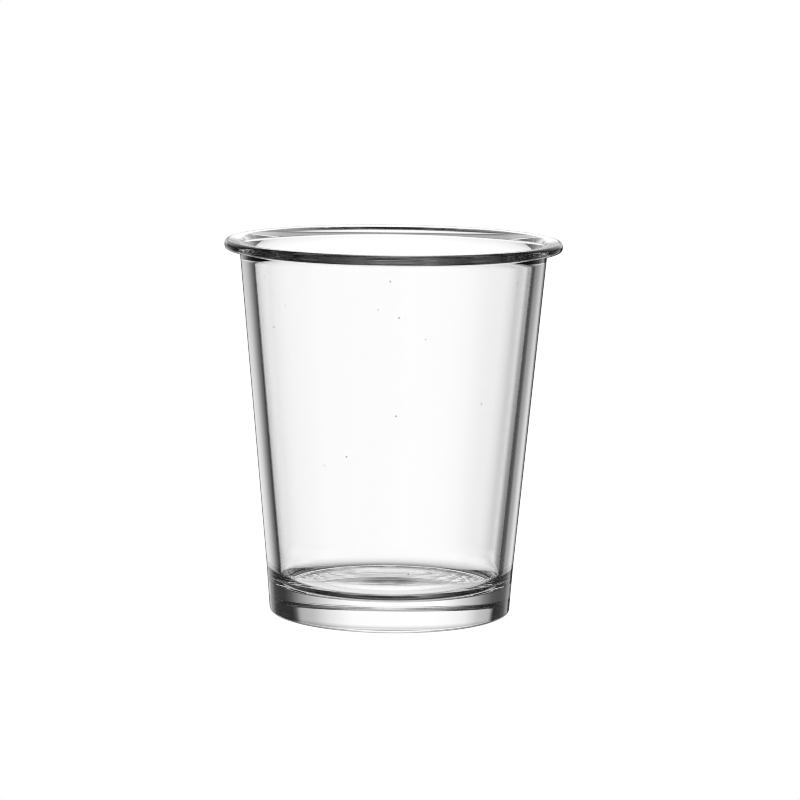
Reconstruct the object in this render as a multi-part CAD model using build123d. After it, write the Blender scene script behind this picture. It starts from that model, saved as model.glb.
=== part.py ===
from build123d import *

import os
from math import sqrt

# A clear pressed-glass coffee tumbler: one piece of glass, with no handle.
#
# A straight tapered wall stands on a solid base and turns out at the top into a lip that tilts
# slightly up to its rounded edge. The floor inside is a shallow bowl that curves up into the wall.
# The underside is hollowed, so the glass stands on a flat ring. All sizes are in millimetres. The
# origin is on the axis, in the plane of the standing ring, and +Z points up out of the mouth.

# Outside of the glass. The mouth height is where the top of the lip would meet the inside wall
MOUTH_HEIGHT = 93.3
WALL_TOP_RADIUS = 38.3
LIP_OVERHANG = 3.8
LIP_THICKNESS = 2.4
LIP_RISE = 0.58
LIP_LOWER_EDGE_SHARE = 0.37
LIP_UPPER_EDGE_SHARE = 0.46
FLARE_OUTER_ROUNDING = 0.45
BASE_TOP_RADIUS = 31.1
BASE_TOP_HEIGHT = 12.0
BASE_TOP_ROUNDING = 14.0
FOOT_RADIUS = 30.2
FOOT_ROUNDING = 0.8

# Inside of the glass. The floor is a part of a ball with a straight rim, which is measured inwards
# from the inside wall at the height of the base's top
WALL_THICKNESS = 3.25
FLARE_INNER_ROUNDING = 5.2
FLOOR_THICKNESS = 6.05
FLOOR_CURVATURE = 250.0
FLOOR_RIM_WIDTH = 7.85
FLOOR_ROUNDING = 5.0

# Hollow under the base
STANDING_RING_WIDTH = 4.6
HOLLOW_DEPTH = 0.4


def wall_radius(z):
    """Outside radius of the straight tapered wall at a height."""
    rise_share = (z - BASE_TOP_HEIGHT) / (MOUTH_HEIGHT - LIP_THICKNESS - BASE_TOP_HEIGHT)
    return BASE_TOP_RADIUS + (WALL_TOP_RADIUS - BASE_TOP_RADIUS) * rise_share


def outer_corners():
    """Corners of the outside, from the inner edge of the standing ring up to the lip's top."""
    lip_radius = WALL_TOP_RADIUS + LIP_OVERHANG
    lip_root_height = MOUTH_HEIGHT - LIP_THICKNESS
    return [
        (FOOT_RADIUS - FOOT_ROUNDING - STANDING_RING_WIDTH, 0),
        (FOOT_RADIUS, 0),
        (BASE_TOP_RADIUS, BASE_TOP_HEIGHT),
        (WALL_TOP_RADIUS, lip_root_height),
        (lip_radius, lip_root_height + LIP_RISE),
        (lip_radius, MOUTH_HEIGHT + LIP_RISE),
    ]


def inner_corners():
    """Corners of the inside, from the mouth down to the edge of the floor's round bowl."""
    bowl_radius = BASE_TOP_RADIUS - WALL_THICKNESS - FLOOR_RIM_WIDTH
    ball_rise = sqrt(FLOOR_CURVATURE**2 - bowl_radius**2)
    bowl_edge_height = FLOOR_THICKNESS + FLOOR_CURVATURE - ball_rise
    floor_corner_radius = wall_radius(bowl_edge_height) - WALL_THICKNESS
    slope = bowl_radius / ball_rise
    floor_corner_height = bowl_edge_height + (floor_corner_radius - bowl_radius) * slope
    return [
        (wall_radius(MOUTH_HEIGHT) - WALL_THICKNESS, MOUTH_HEIGHT),
        (floor_corner_radius, floor_corner_height),
        (bowl_radius, bowl_edge_height),
    ]


def glass_section():
    """Half of the glass cut through its axis, in the plane of X and Z."""
    outer = outer_corners()
    inner = inner_corners()
    ring_inner_radius = outer[0][0]
    hollow_curvature = (ring_inner_radius**2 + HOLLOW_DEPTH**2) / (2 * HOLLOW_DEPTH)
    roundings = [
        FOOT_ROUNDING,
        BASE_TOP_ROUNDING,
        FLARE_OUTER_ROUNDING,
        LIP_THICKNESS * LIP_LOWER_EDGE_SHARE,
        LIP_THICKNESS * LIP_UPPER_EDGE_SHARE,
        FLARE_INNER_ROUNDING,
        FLOOR_ROUNDING,
    ]
    with BuildSketch(Plane.XZ) as section:
        with BuildLine():
            FilletPolyline(*outer, *inner, radius=roundings)
            RadiusArc(inner[-1], (0, FLOOR_THICKNESS), FLOOR_CURVATURE)
            Line((0, FLOOR_THICKNESS), (0, HOLLOW_DEPTH))
            RadiusArc((0, HOLLOW_DEPTH), outer[0], hollow_curvature)
        make_face()
    return section.sketch


def glass_tumbler():
    """The whole glass, turned from its section."""
    return revolve(glass_section(), axis=Axis.Z)


os.makedirs("parts", exist_ok=True)
export_step(glass_tumbler(), "parts/glass_tumbler.step")
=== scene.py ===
import math

import bpy
import numpy as np
from mathutils import Euler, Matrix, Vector


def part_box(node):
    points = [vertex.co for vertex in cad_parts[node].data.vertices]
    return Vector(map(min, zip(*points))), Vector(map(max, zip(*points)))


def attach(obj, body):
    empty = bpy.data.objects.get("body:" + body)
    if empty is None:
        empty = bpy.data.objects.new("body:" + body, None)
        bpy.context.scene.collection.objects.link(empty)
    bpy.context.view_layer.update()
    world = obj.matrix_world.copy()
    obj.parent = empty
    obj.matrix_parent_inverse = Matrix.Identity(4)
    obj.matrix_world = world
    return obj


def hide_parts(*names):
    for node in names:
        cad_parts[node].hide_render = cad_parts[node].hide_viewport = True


# A clear pressed-glass coffee tumbler in a white studio. A faceted solid bends light wrongly, so a
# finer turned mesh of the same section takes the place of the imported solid.
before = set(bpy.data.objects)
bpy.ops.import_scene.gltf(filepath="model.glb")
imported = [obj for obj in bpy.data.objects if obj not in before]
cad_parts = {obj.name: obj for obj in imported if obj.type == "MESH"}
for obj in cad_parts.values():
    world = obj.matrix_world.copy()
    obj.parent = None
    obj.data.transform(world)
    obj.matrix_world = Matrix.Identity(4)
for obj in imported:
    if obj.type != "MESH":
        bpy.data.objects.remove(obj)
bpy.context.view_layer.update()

# Lengths are in metres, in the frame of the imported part: the axis of the glass is Z
MM = 0.001
GLASS_NODE = "glass_tumbler"

# Section of the glass, besides its height and the lip's radius, which come from the frame. The
# mouth is where the lip's top would meet the inside wall, a little below the lip's highest point
MOUTH_DROP = 0.482 * MM
LIP_THICKNESS = 2.4 * MM
LIP_RISE = 0.58 * MM
LIP_LOWER_EDGE_SHARE = 0.37
LIP_UPPER_EDGE_SHARE = 0.46
WALL_TOP_RADIUS = 38.3 * MM
FLARE_OUTER_ROUNDING = 0.45 * MM
BASE_TOP_RADIUS = 31.1 * MM
BASE_TOP_HEIGHT = 12.0 * MM
BASE_TOP_ROUNDING = 14.0 * MM
FOOT_RADIUS = 30.2 * MM
FOOT_ROUNDING = 0.8 * MM
WALL_THICKNESS = 3.25 * MM
FLARE_INNER_ROUNDING = 5.2 * MM
FLOOR_THICKNESS = 6.05 * MM
FLOOR_CURVATURE = 250.0 * MM
FLOOR_BOWL_RADIUS = 20.0 * MM
FLOOR_ROUNDING = 5.0 * MM
STANDING_RING_WIDTH = 4.6 * MM
HOLLOW_DEPTH = 0.4 * MM

# Fineness of the turned mesh
TURN_STEPS = 432
ARC_STEP = math.radians(3)
FEWEST_ARC_STEPS = 2
CAP_STEPS = 24

# Glass, with painted shade at grazing edges: the first stops give its tone by how grazing the view
# is, and the second the share of that painted shade by how level the surface is, from upright to
# flat
GLASS_IOR = 1.52
PAINTED_EDGE_SHADE_STOPS = [(0, 1.0), (0.86, 1.0), (0.885, 0.3), (1, 0.12)]
PAINTED_SHADE_SHARE_STOPS = [(0, 1.0), (0.3, 1.0), (0.6, 0.0), (1, 0.0)]

# Haze, as roughness by the noise, and waves, which are drawn out along the axis
HAZE_SIZE = 30 * MM
HAZE_DETAIL = 3
HAZE_STOPS = [(0, 0.0), (0.5, 0.0), (1, 0.01)]
WAVE_SIZE = 9 * MM
WAVE_DETAIL = 1
WAVE_STRETCH = 0.15
WAVE_HEIGHT = 0.004 * MM

# Dust specks, each dark to its core's edge and then fading
SPECK_SPACING = 9 * MM
SPECK_RADIUS = 0.28 * MM
SPECK_CORE_SHARE = 0.7
SPECK_TONE = 0.12

# Camera, fitted to the outline in the photograph, whose frame is square. The roll is in radians
CAMERA_DISTANCE = 0.8563
CAMERA_HEIGHT = 0.1746
CAMERA_SIDE = 0.00204
AIM_HEIGHT = 0.05342
CAMERA_ROLL = 0.0121
LENS_MM = 155.22
SENSOR_MM = 36.0
NEAREST_IN_VIEW = 10 * MM
FARTHEST_IN_VIEW = 100.0

# Render. Light in the thick base is mirrored inside it many times before it gets out
BOUNCES = 32
PIXEL_FILTER_WIDTH = 1.0

# Floor and backdrop, which only the camera sees. The floor lies just below the foot
FLOOR_HALF_WIDTH = 30.0
FLOOR_DROP = 0.2 * MM
PALE = 1.0

# What lights the glass depends on the way that the light takes through it, as in no real studio. A
# path counts the surfaces that it goes through and those that mirror it, so the limits lie between
# whole numbers: one wall is two surfaces, both walls are four
BOTH_WALLS_LIMIT = 3.5
ANY_LIMIT = 0.5
CLEAR_LIGHT = 1.1
MIRRORED_LIGHT = 1.1

# Clear glass shows what it bends and mirrors, so the dark between the cards draws its dark lines.
# A light is a list of cards, and a card is brightness by angle sideways times brightness by angle
# upwards. Stops are (angle in degrees, brightness). The sideways angle is 0 straight behind the
# glass, grows to the right and is 180 behind the camera. The stops are round numbers set after a
# light that a program had worked out from the tones in the photograph
THROUGH_BOTH_WALLS = [
    ([(-180, 1.0), (-164, 0.95), (-143, 0.85), (-123, 1.0), (-66, 1.0), (-50, 0.75), (-37, 0.75),
      (-29, 1.1), (-15, 1.0), (3, 1.0), (9, 0.9), (13, 0.75), (17, 1.0), (21, 0.5), (28, 0.4),
      (32, 0.6), (40, 0.75), (57, 1.0), (123, 1.0), (143, 0.85), (164, 0.95), (180, 1.0)],
     [(-90, 0.1), (-72, 0.05), (-66, 0.25), (-58, 0.35), (-50, 0.6), (-44, 0.75), (-30, 1.0),
      (90, 1.0)]),
]
THROUGH_ONE_WALL = [
    ([(-180, 1.0), (180, 1.0)],
     [(-90, 1.0), (-45, 1.0), (-36, 0.75), (-28, 0.85), (-12, 1.0), (-8, 0.0), (90, 0.0)]),
    ([(-180, 1.0), (-158, 0.75), (-128, 0.04), (-108, 0.04), (-96, 1.0), (-84, 1.0), (-72, 0.04),
      (-46, 0.1), (-40, 0.2), (-30, 0.55), (-16, 1.0), (10, 1.0), (18, 0.8), (28, 0.5), (42, 0.1),
      (48, 0.04), (72, 0.04), (84, 1.0), (96, 1.0), (108, 0.04), (128, 0.04), (158, 0.75),
      (180, 1.0)],
     [(-90, 0.0), (-16, 0.0), (-12, 1.0), (0, 1.0), (4, 0.0), (90, 0.0)]),
    ([(-180, 1.0), (-158, 0.3), (-108, 0.04), (-84, 0.3), (-72, 0.04), (-46, 0.04), (-34, 0.3),
      (-15, 0.35), (-9, 0.9), (0, 1.0), (9, 0.9), (15, 0.35), (34, 0.3), (46, 0.04), (72, 0.04),
      (96, 0.3), (108, 0.04), (158, 0.3), (180, 1.0)],
     [(-90, 0.0), (0, 0.0), (4, 1.0), (11, 1.0), (15, 0.0), (90, 0.0)]),
    ([(-180, 1.0), (-158, 1.0), (-128, 0.04), (-40, 0.04), (-30, 0.15), (-22, 1.0), (0, 1.0),
      (12, 0.9), (28, 0.9), (38, 0.3), (48, 0.04), (128, 0.04), (158, 1.0), (180, 1.0)],
     [(-90, 0.0), (11, 0.0), (15, 1.0), (90, 1.0)]),
]
MIRRORED_THROUGH_BOTH_WALLS = [
    ([(-180, 0.2), (-165, 0.3), (-150, 0.2), (-105, 0.05), (-80, 0.2), (-66, 0.7), (-50, 0.6),
      (-36, 0.1), (-25, 0.3), (-16, 1.1), (22, 1.1), (32, 1.0), (40, 0.4), (75, 0.4), (100, 0.25),
      (180, 0.2)],
     [(-90, 0.0), (-12, 0.1), (-6, 0.7), (0, 1.0), (11.5, 1.0), (12.5, 0.0), (90, 0.0)]),
    ([(-180, 0.1), (-75, 0.3), (-66, 0.8), (-50, 0.7), (-36, 0.4), (-25, 0.8), (-15, 1.1),
      (-10, 0.1), (10, 0.1), (15, 1.0), (28, 0.9), (40, 0.4), (60, 0.2), (100, 0.25), (180, 0.1)],
     [(-90, 0.0), (11.5, 0.0), (12.5, 1.0), (18, 1.0), (22, 0.3), (32, 0.1), (40, 0.0), (90, 0.0)]),
    ([(-180, 0.5), (-165, 0.5), (-150, 0.2), (-135, 0.0), (-100, 0.2), (-90, 0.6), (-75, 0.6),
      (-45, 1.0), (-28, 0.7), (-16, 0.4), (-10, 0.1), (10, 0.1), (17, 0.2), (28, 0.4), (45, 0.5),
      (60, 0.9), (75, 0.4), (90, 0.2), (105, 0.0), (140, 0.0), (165, 0.4), (180, 0.5)],
     [(-90, 1.0), (-20, 1.0), (-12, 0.5), (-7, 0.0), (90, 0.0)]),
    ([(-180, 0.0), (-75, 0.1), (-60, 0.5), (-25, 0.5), (0, 0.4), (25, 0.2), (40, 0.6), (55, 1.0),
      (68, 0.3), (85, 0.4), (100, 0.7), (115, 0.3), (130, 0.0), (180, 0.0)],
     [(-90, 0.0), (18, 0.0), (23, 1.0), (33, 1.0), (38, 0.0), (90, 0.0)]),
    ([(-180, 0.05), (-110, 0.1), (-100, 0.4), (-85, 0.4), (-70, 0.05), (-28, 0.1), (-18, 0.8),
      (15, 0.8), (28, 0.2), (45, 0.0), (75, 0.2), (88, 0.8), (105, 0.6), (120, 0.1), (180, 0.05)],
     [(-90, 0.0), (32, 0.0), (38, 1.0), (56, 1.0), (60, 0.2), (64, 0.0), (90, 0.0)]),
    ([(-180, 0.6), (-175, 0.5), (-169, 0.1), (-150, 0.1), (-140, 0.4), (-125, 0.4), (-110, 0.0),
      (100, 0.0), (115, 0.6), (130, 0.7), (143, 0.1), (169, 0.1), (175, 0.5), (180, 0.6)],
     [(-90, 0.0), (46, 0.0), (49, 1.0), (55, 1.0), (60, 0.0), (90, 0.0)]),
    ([(-180, 0.5), (-125, 0.4), (-110, 0.0), (100, 0.0), (115, 0.6), (150, 0.8), (165, 0.5),
      (180, 0.5)],
     [(-90, 0.0), (55, 0.0), (60, 0.8), (66, 1.0), (90, 1.0)]),
    ([(-180, 0.7), (-20, 0.6), (-8, 0.2), (8, 0.2), (30, 0.5), (180, 0.7)],
     [(-90, 0.0), (60, 0.0), (66, 0.8), (72, 1.0), (90, 1.0)]),
]
MIRRORED_THROUGH_ONE_WALL = [
    ([(-180, 0.03), (-42, 0.03), (-36, 0.2), (-30, 0.5), (-24, 0.7), (-16, 0.85), (0, 1.0),
      (10, 1.0), (18, 0.75), (26, 0.45), (34, 0.3), (38, 0.05), (180, 0.03)],
     [(-90, 0.0), (-26, 0.0), (-20, 0.6), (-14, 0.85), (-9, 0.7), (-5, 0.3), (-1, 0.0), (90, 0.0)]),
    ([(-180, 0.03), (-49, 0.03), (-45, 0.5), (-36, 0.6), (-28, 0.9), (-16, 1.0), (12, 1.0),
      (22, 0.75), (28, 0.55), (36, 0.45), (39, 0.1), (42, 0.03), (180, 0.03)],
     [(-90, 0.0), (-6, 0.0), (-2, 0.5), (2, 0.8), (6, 0.95), (15, 0.95), (19, 0.0), (90, 0.0)]),
    ([(-180, 0.02), (-26, 0.02), (-18, 0.9), (12, 1.0), (22, 0.15), (30, 0.02), (180, 0.02)],
     [(-90, 0.0), (15, 0.0), (20, 0.45), (34, 0.45), (41, 0.3), (46, 0.0), (90, 0.0)]),
    ([(-180, 0.0), (-24, 0.1), (-12, 0.8), (0, 1.0), (10, 0.6), (20, 0.15), (30, 0.0), (180, 0.0)],
     [(-90, 0.0), (-46, 0.0), (-42, 0.2), (-32, 0.4), (-22, 0.6), (-16, 0.0), (90, 0.0)]),
    ([(-180, 0.0), (-28, 0.0), (-20, 0.9), (-12, 1.0), (12, 1.0), (20, 0.9), (28, 0.1), (180, 0.0)],
     [(-90, 0.0), (43, 0.0), (47, 0.8), (52, 1.0), (72, 1.0), (78, 0.7), (90, 0.5)]),
    ([(-180, 0.0), (-105, 0.2), (-95, 0.8), (-70, 0.8), (-60, 0.1), (48, 0.1), (58, 0.8),
      (105, 0.8), (115, 0.1), (180, 0.0)],
     [(-90, 0.0), (48, 0.0), (62, 1.0), (90, 1.0)]),
    ([(-180, 1.0), (-150, 0.7), (-140, 0.3), (-110, 0.4), (110, 0.8), (150, 0.8), (180, 1.0)],
     [(-90, 0.0), (64, 0.0), (70, 0.5), (78, 1.0), (90, 1.0)]),
    ([(-180, 0.0), (-160, 0.3), (-140, 1.0), (-120, 0.6), (-100, 0.5), (-90, 0.0), (90, 0.0),
      (105, 0.3), (125, 1.0), (140, 0.9), (155, 0.2), (180, 0.0)],
     [(-90, 0.0), (-72, 0.0), (-66, 0.4), (-50, 0.45), (-36, 0.3), (-28, 0.0), (90, 0.0)]),
    ([(-180, 1.0), (-160, 0.5), (-140, 0.2), (-120, 0.0), (135, 0.2), (150, 0.6), (165, 1.0),
      (180, 1.0)],
     [(-90, 0.0), (-75, 0.0), (-71, 1.0), (-66, 0.6), (-58, 0.2), (-52, 0.0), (90, 0.0)]),
]
MIRRORED_OUTSIDE = [
    ([(-180, 0.03), (-60, 0.03), (-45, 0.2), (-36, 0.5), (-26, 0.7), (-15, 0.8), (0, 1.1),
      (15, 1.1), (24, 0.8), (34, 0.6), (45, 0.3), (60, 0.06), (180, 0.03)],
     [(-90, 0.0), (2, 0.0), (8, 1.0), (35, 1.0), (42, 0.4), (46, 0.05), (90, 0.05)]),
    ([(-180, 0.0), (-28, 0.1), (-20, 1.0), (-12, 1.0), (-4, 0.4), (4, 0.4), (12, 1.0), (22, 0.9),
      (30, 0.1), (180, 0.0)],
     [(-90, 0.0), (-4, 0.0), (-1, 1.0), (6, 1.0), (10, 0.0), (90, 0.0)]),
    ([(-180, 0.0), (-60, 0.0), (-48, 0.5), (-38, 1.0), (-26, 1.0), (-16, 0.4), (0, 0.5), (16, 0.5),
      (26, 1.0), (42, 1.0), (52, 0.3), (60, 0.0), (180, 0.0)],
     [(-90, 0.3), (-44, 0.3), (-38, 0.8), (-30, 1.0), (-22, 1.0), (-18, 0.0), (90, 0.0)]),
    ([(-180, 0.0), (-50, 0.05), (-40, 0.15), (-32, 0.6), (-24, 0.8), (-16, 0.9), (-11, 0.1),
      (0, 0.05), (20, 0.05), (24, 0.7), (30, 0.7), (38, 0.3), (50, 0.1), (60, 0.0), (180, 0.0)],
     [(-90, 0.0), (-24, 0.0), (-20, 1.0), (-8, 1.0), (-3, 0.2), (0, 0.0), (90, 0.0)]),
    ([(-180, 0.8), (-165, 0.7), (-120, 0.6), (-108, 0.1), (-80, 0.05), (60, 0.05), (105, 0.1),
      (118, 0.8), (150, 1.0), (180, 0.8)],
     [(-90, 0.8), (20, 0.9), (30, 0.5), (90, 0.5)]),
]


def arc_outline(before, corner, after, rounding):
    """Points and outward normals along the arc that rounds a corner between two others."""
    back = (before - corner).normalized()
    ahead = (after - corner).normalized()
    half = back.angle(ahead) / 2
    centre = corner + (back + ahead).normalized() * (rounding / math.sin(half))
    start = corner + back * (rounding / math.tan(half)) - centre
    end = corner + ahead * (rounding / math.tan(half)) - centre
    turn = end.angle_signed(start)
    bulge = 1 if turn > 0 else -1
    steps = max(FEWEST_ARC_STEPS, math.ceil(abs(turn) / ARC_STEP))
    outline = []
    for step in range(steps + 1):
        angle = math.atan2(start.y, start.x) + turn * step / steps
        radial = Vector((math.cos(angle), math.sin(angle)))
        outline.append((centre + radial * rounding, radial * bulge))
    return outline


def end_outline(place, along):
    """The point and outward normal at an end of a line, for the line's direction there."""
    return [(place, Vector((along.y, -along.x)))]


def rounded_outline(corners):
    """Points and outward normals along a line with rounded corners, in the plane of r and z.

    Each corner is (r, z, rounding). The first and last only end the line. Going along it, the
    glass is on the left.
    """
    places = [Vector(corner[:2]) for corner in corners]
    outline = end_outline(places[0], (places[1] - places[0]).normalized())
    for i in range(1, len(corners) - 1):
        outline += arc_outline(places[i - 1], places[i], places[i + 1], corners[i][2])
    return outline + end_outline(places[-1], (places[-1] - places[-2]).normalized())


def cap_outline(edge_radius, axis_height, ball, side):
    """Points and outward normals of a shallow round cap, from the axis almost out to its edge.

    Where side is 1 it rises outwards and faces up, and where side is -1 it falls and faces down.
    """
    reach = math.asin(edge_radius / ball)
    outline = []
    for step in range(CAP_STEPS):
        angle = reach * step / CAP_STEPS
        rise = side * ball * (1 - math.cos(angle))
        place = Vector((ball * math.sin(angle), axis_height + rise))
        outline.append((place, Vector((-math.sin(angle), side * math.cos(angle)))))
    return outline


def glass_outline(height, lip_radius):
    """The whole section of the glass, from the axis under the base to the axis on the floor."""
    mouth_height = height - MOUTH_DROP
    lip_root_height = mouth_height - LIP_THICKNESS

    def inner_radius(z):
        rise = (z - BASE_TOP_HEIGHT) / (lip_root_height - BASE_TOP_HEIGHT)
        return BASE_TOP_RADIUS + (WALL_TOP_RADIUS - BASE_TOP_RADIUS) * rise - WALL_THICKNESS

    ring_inner_radius = FOOT_RADIUS - FOOT_ROUNDING - STANDING_RING_WIDTH
    hollow_curvature = (ring_inner_radius**2 + HOLLOW_DEPTH**2) / (2 * HOLLOW_DEPTH)
    bowl_slope = math.asin(FLOOR_BOWL_RADIUS / FLOOR_CURVATURE)
    bowl_edge_height = FLOOR_THICKNESS + FLOOR_CURVATURE * (1 - math.cos(bowl_slope))
    corner_radius = inner_radius(bowl_edge_height)
    corner_height = bowl_edge_height + (corner_radius - FLOOR_BOWL_RADIUS) * math.tan(bowl_slope)
    corners = [
        (ring_inner_radius, 0, 0),
        (FOOT_RADIUS, 0, FOOT_ROUNDING),
        (BASE_TOP_RADIUS, BASE_TOP_HEIGHT, BASE_TOP_ROUNDING),
        (WALL_TOP_RADIUS, lip_root_height, FLARE_OUTER_ROUNDING),
        (lip_radius, lip_root_height + LIP_RISE, LIP_THICKNESS * LIP_LOWER_EDGE_SHARE),
        (lip_radius, mouth_height + LIP_RISE, LIP_THICKNESS * LIP_UPPER_EDGE_SHARE),
        (inner_radius(mouth_height), mouth_height, FLARE_INNER_ROUNDING),
        (corner_radius, corner_height, FLOOR_ROUNDING),
        (FLOOR_BOWL_RADIUS, bowl_edge_height, 0),
    ]
    hollow = cap_outline(ring_inner_radius, HOLLOW_DEPTH, hollow_curvature, -1)
    bowl = cap_outline(FLOOR_BOWL_RADIUS, FLOOR_THICKNESS, FLOOR_CURVATURE, 1)
    return hollow + rounded_outline(corners) + bowl[::-1]


def turned(values):
    """Turns each (r, z) between the first and the last round Z, into one ring after another."""
    turns = np.arange(TURN_STEPS) * (2 * math.pi / TURN_STEPS)
    spin = np.stack([np.cos(turns), np.sin(turns)], axis=1)
    around = values[1:-1, 0][:, None, None] * spin[None]
    along = np.broadcast_to(values[1:-1, 1][:, None, None], around.shape[:2] + (1,))
    return np.concatenate([around, along], axis=2).reshape(-1, 3)


def turned_faces(rings):
    """Faces between rings of points, and from the end rings to the poles that follow them."""
    last_ring = (rings - 1) * TURN_STEPS
    first_pole = rings * TURN_STEPS
    faces = []
    for turn in range(TURN_STEPS):
        after = (turn + 1) % TURN_STEPS
        faces.append((first_pole, after, turn))
        for low in range(0, last_ring, TURN_STEPS):
            high = low + TURN_STEPS
            faces.append((low + turn, low + after, high + after, high + turn))
        faces.append((last_ring + turn, last_ring + after, first_pole + 1))
    return faces


def turned_mesh(name, outline):
    """A mesh of revolution about Z with exact normals. The outline starts and ends on the axis."""
    places = np.array([place for place, _ in outline])
    normals = np.array([normal for _, normal in outline])
    poles = [[0, 0, places[0, 1]], [0, 0, places[-1, 1]]]
    vertices = np.vstack([turned(places), poles])
    vertex_normals = np.vstack([turned(normals), [[0, 0, -1], [0, 0, 1]]])
    faces = turned_faces(len(outline) - len(poles))
    mesh = bpy.data.meshes.new(name)
    mesh.from_pydata(vertices.tolist(), [], faces)
    mesh.polygons.foreach_set("use_smooth", [True] * len(faces))
    mesh.normals_split_custom_set_from_vertices(vertex_normals.tolist())
    mesh.update()
    return mesh


def scene_object(name, data):
    """A new object in the scene."""
    thing = bpy.data.objects.new(name, data)
    bpy.context.scene.collection.objects.link(thing)
    return thing


def feed(tree, socket, value):
    """Sets a socket to a number, or links another socket to it."""
    if isinstance(value, (int, float)):
        socket.default_value = value
    else:
        tree.links.new(value, socket)


def math_node(tree, operation, *values):
    """A Math node whose inputs are numbers or sockets. Returns its output."""
    node = tree.nodes.new("ShaderNodeMath")
    node.operation = operation
    for socket, value in zip(node.inputs, values):
        feed(tree, socket, value)
    return node.outputs[0]


def choice(tree, condition, otherwise, then):
    """One of two brightnesses: then where the condition is 1, otherwise where it is 0."""
    mix = tree.nodes.new("ShaderNodeMix")
    mix.data_type = "FLOAT"
    feed(tree, mix.inputs["Factor"], condition)
    feed(tree, mix.inputs["A"], otherwise)
    feed(tree, mix.inputs["B"], then)
    return mix.outputs[0]


def ramp_node(tree, value, stops):
    """A grey ramp of a value. stops are (value, brightness), from the lowest value up."""
    low, high = stops[0][0], stops[-1][0]
    span = tree.nodes.new("ShaderNodeMapRange")
    span.inputs["From Min"].default_value = low
    span.inputs["From Max"].default_value = high
    tree.links.new(value, span.inputs["Value"])
    ramp = tree.nodes.new("ShaderNodeValToRGB")
    elements = ramp.color_ramp.elements
    while len(elements) > 1:
        elements.remove(elements[-1])
    for i, (place, grey) in enumerate(stops):
        share = (place - low) / (high - low)
        element = elements[0] if i == 0 else elements.new(share)
        element.position = share
        element.color = (grey, grey, grey, 1)
    tree.links.new(span.outputs[0], ramp.inputs[0])
    return ramp.outputs[0]


def noise_node(tree, place, size, detail):
    """Noise whose features are about a size, from 0 to 1."""
    noise = tree.nodes.new("ShaderNodeTexNoise")
    noise.inputs["Scale"].default_value = 1 / size
    noise.inputs["Detail"].default_value = detail
    tree.links.new(place, noise.inputs["Vector"])
    return noise.outputs["Fac"]


def stretched(tree, place, stretch):
    """Coordinates drawn out along Z: a feature gets longer as stretch gets smaller."""
    mapping = tree.nodes.new("ShaderNodeMapping")
    mapping.inputs["Scale"].default_value = (1, 1, stretch)
    tree.links.new(place, mapping.inputs["Vector"])
    return mapping.outputs[0]


def speck_tone(tree, place):
    """White with a few dark dust specks: a speck shows where its ball crosses the surface."""
    cells = tree.nodes.new("ShaderNodeTexVoronoi")
    cells.inputs["Scale"].default_value = 1 / SPECK_SPACING
    tree.links.new(place, cells.inputs["Vector"])
    radius = SPECK_RADIUS / SPECK_SPACING
    core = radius * SPECK_CORE_SHARE
    stops = [(0, SPECK_TONE), (core, SPECK_TONE), (radius, 1.0), (1, 1.0)]
    return ramp_node(tree, cells.outputs["Distance"], stops)


def painted_edge_shade(tree, normal):
    """Painted shade: darkens upright glass that is seen at a grazing angle."""
    facing = tree.nodes.new("ShaderNodeLayerWeight").outputs["Facing"]
    parts = tree.nodes.new("ShaderNodeSeparateXYZ")
    tree.links.new(normal, parts.inputs[0])
    upright = ramp_node(tree, math_node(tree, "ABSOLUTE", parts.outputs[2]), PAINTED_SHADE_SHARE_STOPS)
    return choice(tree, upright, 1.0, ramp_node(tree, facing, PAINTED_EDGE_SHADE_STOPS))


def glass_material():
    """Clear pressed glass with painted shade at grazing edges, faint waves, haze and a few specks.
    """
    material = bpy.data.materials.new("clear_pressed_glass")
    material.use_nodes = True
    tree = material.node_tree
    shader = tree.nodes["Principled BSDF"]
    shader.inputs["Transmission Weight"].default_value = 1
    shader.inputs["IOR"].default_value = GLASS_IOR
    coordinates = tree.nodes.new("ShaderNodeTexCoord").outputs
    place = coordinates["Object"]
    # The glass's colour is painted shade at grazing edges, times the real dust specks
    edges = painted_edge_shade(tree, coordinates["Normal"])
    specks_and_painted_shade = math_node(tree, "MULTIPLY", edges, speck_tone(tree, place))
    tree.links.new(specks_and_painted_shade, shader.inputs["Base Color"])
    haze = ramp_node(tree, noise_node(tree, place, HAZE_SIZE, HAZE_DETAIL), HAZE_STOPS)
    tree.links.new(haze, shader.inputs["Roughness"])
    bump = tree.nodes.new("ShaderNodeBump")
    bump.inputs["Distance"].default_value = WAVE_HEIGHT
    waves = noise_node(tree, stretched(tree, place, WAVE_STRETCH), WAVE_SIZE, WAVE_DETAIL)
    tree.links.new(waves, bump.inputs["Height"])
    tree.links.new(bump.outputs[0], shader.inputs["Normal"])
    return material


def glass_body():
    """The glass, in place of its plain solid."""
    _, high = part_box(GLASS_NODE)
    body = scene_object("glass_body", turned_mesh("glass_body", glass_outline(high.z, high.x)))
    body.data.materials.append(glass_material())
    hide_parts(GLASS_NODE)
    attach(body, "root")


def floor_material():
    """A plain pale glow."""
    material = bpy.data.materials.new("pale_floor")
    material.use_nodes = True
    tree = material.node_tree
    tree.nodes.clear()
    glow = tree.nodes.new("ShaderNodeEmission")
    glow.inputs["Strength"].default_value = PALE
    output = tree.nodes.new("ShaderNodeOutputMaterial")
    tree.links.new(glow.outputs[0], output.inputs["Surface"])
    return material


def pale_floor():
    """A plain pale floor that only the camera sees."""
    half = FLOOR_HALF_WIDTH
    corners = [(-half, -half, 0), (half, -half, 0), (half, half, 0), (-half, half, 0)]
    mesh = bpy.data.meshes.new("floor")
    mesh.from_pydata(corners, [], [(0, 1, 2, 3)])
    mesh.materials.append(floor_material())
    floor = scene_object("floor", mesh)
    floor.location.z = -FLOOR_DROP
    for kind in ("diffuse", "glossy", "transmission", "volume_scatter", "shadow"):
        setattr(floor, "visible_" + kind, False)


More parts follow.
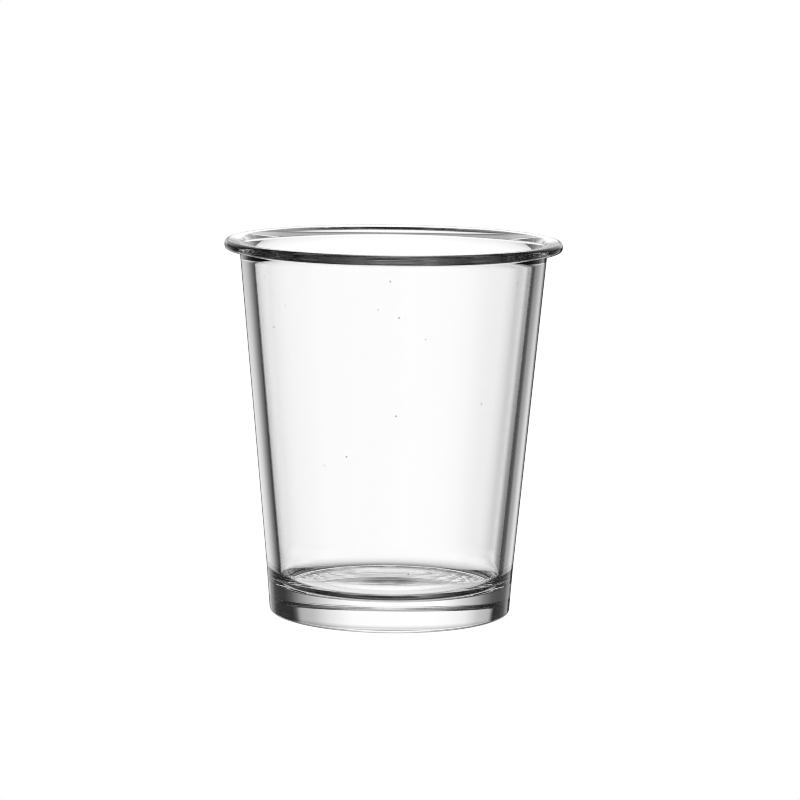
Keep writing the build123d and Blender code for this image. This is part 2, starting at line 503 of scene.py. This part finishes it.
def sky_angles(tree):
    """Angles of a direction in degrees: sideways from straight behind the glass, and upwards."""
    direction = tree.nodes.new("ShaderNodeTexCoord").outputs["Generated"]
    parts = tree.nodes.new("ShaderNodeSeparateXYZ")
    tree.links.new(direction, parts.inputs[0])
    x, y, z = parts.outputs
    sideways = math_node(tree, "MULTIPLY", math_node(tree, "ARCTAN2", x, y), math.degrees(1))
    rise = math_node(tree, "MULTIPLY", math_node(tree, "ARCSINE", z), math.degrees(1))
    return sideways, rise


def card_light(tree, sideways, rise, cards):
    """Brightness of a list of cards: the brightest of them in each direction."""
    light = None
    for sideways_stops, rise_stops in cards:
        across = ramp_node(tree, sideways, sideways_stops)
        card = math_node(tree, "MULTIPLY", across, ramp_node(tree, rise, rise_stops))
        light = card if light is None else math_node(tree, "MAXIMUM", light, card)
    return light


def studio_light(tree):
    """Brightness of the studio, for each way that its light takes through the glass."""
    sideways, rise = sky_angles(tree)

    def light(cards):
        return card_light(tree, sideways, rise, cards)

    path = tree.nodes.new("ShaderNodeLightPath").outputs
    one_wall = math_node(tree, "LESS_THAN", path["Transmission Depth"], BOTH_WALLS_LIMIT)
    outside = math_node(tree, "LESS_THAN", path["Transmission Depth"], ANY_LIMIT)
    in_mirror = math_node(tree, "GREATER_THAN", path["Glossy Depth"], ANY_LIMIT)
    clear = choice(tree, one_wall, light(THROUGH_BOTH_WALLS), light(THROUGH_ONE_WALL))
    clear = math_node(tree, "MULTIPLY", clear, CLEAR_LIGHT)
    mirrored_far = light(MIRRORED_THROUGH_BOTH_WALLS)
    mirrored_near = light(MIRRORED_THROUGH_ONE_WALL)
    mirrored = choice(tree, one_wall, mirrored_far, mirrored_near)
    mirrored = choice(tree, outside, mirrored, light(MIRRORED_OUTSIDE))
    mirrored = math_node(tree, "MULTIPLY", mirrored, MIRRORED_LIGHT)
    return choice(tree, path["Is Camera Ray"], choice(tree, in_mirror, clear, mirrored), PALE)


def studio_world():
    """Cards of light that only the glass sees, and plain white behind it for the camera."""
    world = bpy.data.worlds.new("studio")
    bpy.context.scene.world = world
    world.use_nodes = True
    tree = world.node_tree
    tree.nodes.clear()
    background = tree.nodes.new("ShaderNodeBackground")
    background.inputs["Color"].default_value = (1, 1, 1, 1)
    tree.links.new(studio_light(tree), background.inputs["Strength"])
    output = tree.nodes.new("ShaderNodeOutputWorld")
    tree.links.new(background.outputs[0], output.inputs["Surface"])


def camera():
    """The photograph's camera."""
    data = bpy.data.cameras.new("camera")
    data.sensor_width = SENSOR_MM
    data.lens = LENS_MM
    data.clip_start = NEAREST_IN_VIEW
    data.clip_end = FARTHEST_IN_VIEW
    view = scene_object("camera", data)
    view.location = (CAMERA_SIDE, -CAMERA_DISTANCE, CAMERA_HEIGHT)
    aim = Vector((CAMERA_SIDE, 0, AIM_HEIGHT)) - view.location
    turn = aim.to_track_quat("-Z", "Y")
    view.rotation_mode = "QUATERNION"
    view.rotation_quaternion = turn @ Euler((0, 0, CAMERA_ROLL)).to_quaternion()
    bpy.context.scene.camera = view


def render_settings():
    """Exact white, sharp pixels, and enough bounces for light that is trapped in the glass."""
    scene = bpy.context.scene
    scene.view_settings.view_transform = "Standard"
    scene.cycles.filter_width = PIXEL_FILTER_WIDTH
    scene.cycles.max_bounces = BOUNCES
    scene.cycles.glossy_bounces = BOUNCES
    scene.cycles.transmission_bounces = BOUNCES
    scene.cycles.caustics_reflective = True
    scene.cycles.caustics_refractive = True


glass_body()
pale_floor()
studio_world()
camera()
render_settings()
